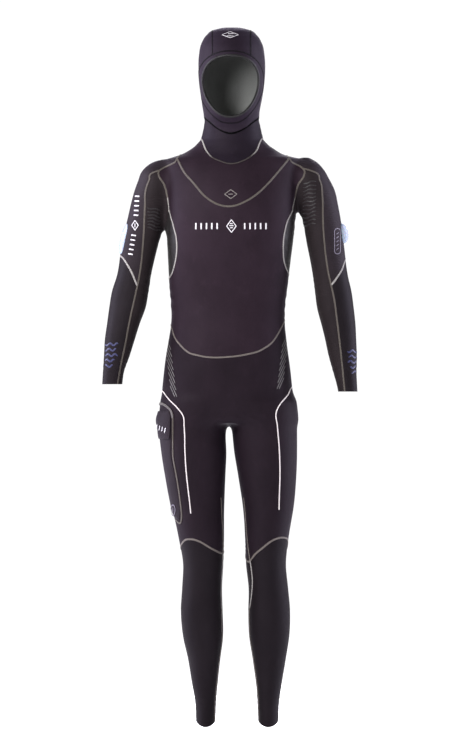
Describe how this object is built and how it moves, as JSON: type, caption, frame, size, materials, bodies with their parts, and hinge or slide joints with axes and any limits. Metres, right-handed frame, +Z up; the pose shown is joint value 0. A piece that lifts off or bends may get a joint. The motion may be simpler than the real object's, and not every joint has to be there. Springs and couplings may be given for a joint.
{
  "type": "hooded full wetsuit",
  "caption": "Hooded full-length neoprene wetsuit sewn from shaped panels, with straight sleeve ends, rounded ankle hems, a thigh pocket with flap and a back zip.",
  "frame": {"origin": "centre of the suit's outline at the level of the ankle hems", "axes": "+Z up from the ankle hems to the hood, the suit faces -Y, the wearer's right is at -X"},
  "size_m": [0.6249, 0.2406, 1.7082],
  "materials": {
    "neoprene": "knitted jersey over neoprene, matte",
    "smoothskin": "smooth skin rubber, low sheen",
    "piping": "white woven piping",
    "emblem_tab": "moulded pale rubber badge, satin",
    "zip_tape": "black woven zip tape",
    "zip_coil": "black nylon coil",
    "zip_metal": "blackened metal slider"
  },
  "bodies": {
    "torso": {"yoke": "neoprene", "chest_front": "neoprene", "back_panel": "neoprene", "side_panel_right": "smoothskin", "side_panel_left": "smoothskin", "pelvis_front": "neoprene", "seat": "neoprene", "zip_tape_right": "zip_tape", "zip_tape_left": "zip_tape", "zip_coil_right": "zip_coil", "zip_coil_left": "zip_coil", "zip_inner_flap": "smoothskin"},
    "hood": {"hood_neck": "neoprene", "hood_crown": "neoprene", "hood_side_right": "neoprene", "hood_side_left": "neoprene", "face_binding": "smoothskin"},
    "pocket_flap": {"pocket_flap": "neoprene"},
    "zip_slider": {"zip_slider": "zip_metal"},
    "zip_puller": {"zip_puller": "zip_metal"},
    "right_upper_arm": {"sleeve_outer_right": "neoprene", "sleeve_inner_right": "neoprene", "arm_tab_right": "emblem_tab"},
    "right_forearm": {"forearm_outer_right": "neoprene", "forearm_inner_right": "neoprene", "wrist_seal_right": "smoothskin"},
    "right_thigh": {"thigh_front_right": "neoprene", "thigh_outer_right": "neoprene", "piping_right": "piping", "pocket_body": "neoprene"},
    "right_shin": {"shin_right": "neoprene", "calf_right": "neoprene", "ankle_seal_right": "smoothskin"},
    "left_upper_arm": {"sleeve_outer_left": "neoprene", "sleeve_inner_left": "neoprene", "arm_tab_left": "emblem_tab"},
    "left_forearm": {"forearm_outer_left": "neoprene", "forearm_inner_left": "neoprene", "wrist_seal_left": "smoothskin"},
    "left_thigh": {"thigh_front_left": "neoprene", "thigh_outer_left": "neoprene", "piping_left": "piping"},
    "left_shin": {"shin_left": "neoprene", "calf_left": "neoprene", "ankle_seal_left": "smoothskin"}
  },
  "joints": [
    {"name": "neck_nod", "type": "hinge", "parent": "torso", "child": "hood", "pos_m": [0.002, 0.014, 1.436], "axis": [1, 0, 0], "range_deg": [-20, 35], "deforming": ["hood_neck"]},
    {"name": "right_shoulder_lift", "type": "hinge", "parent": "torso", "child": "right_upper_arm", "pos_m": [-0.168, 0.005, 1.318], "axis": [0, 1, 0], "range_deg": [-5, 60], "deforming": ["sleeve_outer_right", "sleeve_inner_right"]},
    {"name": "right_elbow_bend", "type": "hinge", "parent": "right_upper_arm", "child": "right_forearm", "pos_m": [-0.246, 0.004, 1.066], "axis": [-1, 0, 0], "range_deg": [0, 80]},
    {"name": "right_hip_bend", "type": "hinge", "parent": "torso", "child": "right_thigh", "pos_m": [-0.088, 0.008, 0.835], "axis": [-1, 0, 0], "range_deg": [-10, 50], "deforming": ["thigh_front_right", "thigh_outer_right", "piping_right"]},
    {"name": "right_knee_bend", "type": "hinge", "parent": "right_thigh", "child": "right_shin", "pos_m": [-0.072, 0.006, 0.436], "axis": [1, 0, 0], "range_deg": [0, 80]},
    {"name": "left_shoulder_lift", "type": "hinge", "parent": "torso", "child": "left_upper_arm", "pos_m": [0.176, 0.005, 1.318], "axis": [0, -1, 0], "range_deg": [-5, 60], "deforming": ["sleeve_outer_left", "sleeve_inner_left"]},
    {"name": "left_elbow_bend", "type": "hinge", "parent": "left_upper_arm", "child": "left_forearm", "pos_m": [0.254, 0.004, 1.066], "axis": [-1, 0, 0], "range_deg": [0, 80]},
    {"name": "left_hip_bend", "type": "hinge", "parent": "torso", "child": "left_thigh", "pos_m": [0.086, 0.008, 0.835], "axis": [-1, 0, 0], "range_deg": [-10, 50], "deforming": ["thigh_front_left", "thigh_outer_left", "piping_left"]},
    {"name": "left_knee_bend", "type": "hinge", "parent": "left_thigh", "child": "left_shin", "pos_m": [0.088, 0.006, 0.436], "axis": [1, 0, 0], "range_deg": [0, 80]},
    {"name": "pocket_flap_lift", "type": "hinge", "parent": "right_thigh", "child": "pocket_flap", "pos_m": [-0.1715, -0.014, 0.7715], "axis": [-0.2496, 0.9684, 0], "range_deg": [0, 100]},
    {"name": "zip_travel", "type": "slide", "parent": "torso", "child": "zip_slider", "axis": [0, -0.1062, -0.9943], "range_m": [0, 0.265]},
    {"name": "zip_puller_swing", "type": "hinge", "parent": "zip_slider", "child": "zip_puller", "pos_m": [0.002, 0.11359, 1.34643], "axis": [1, 0, 0], "range_deg": [0, 110]}
  ]
}
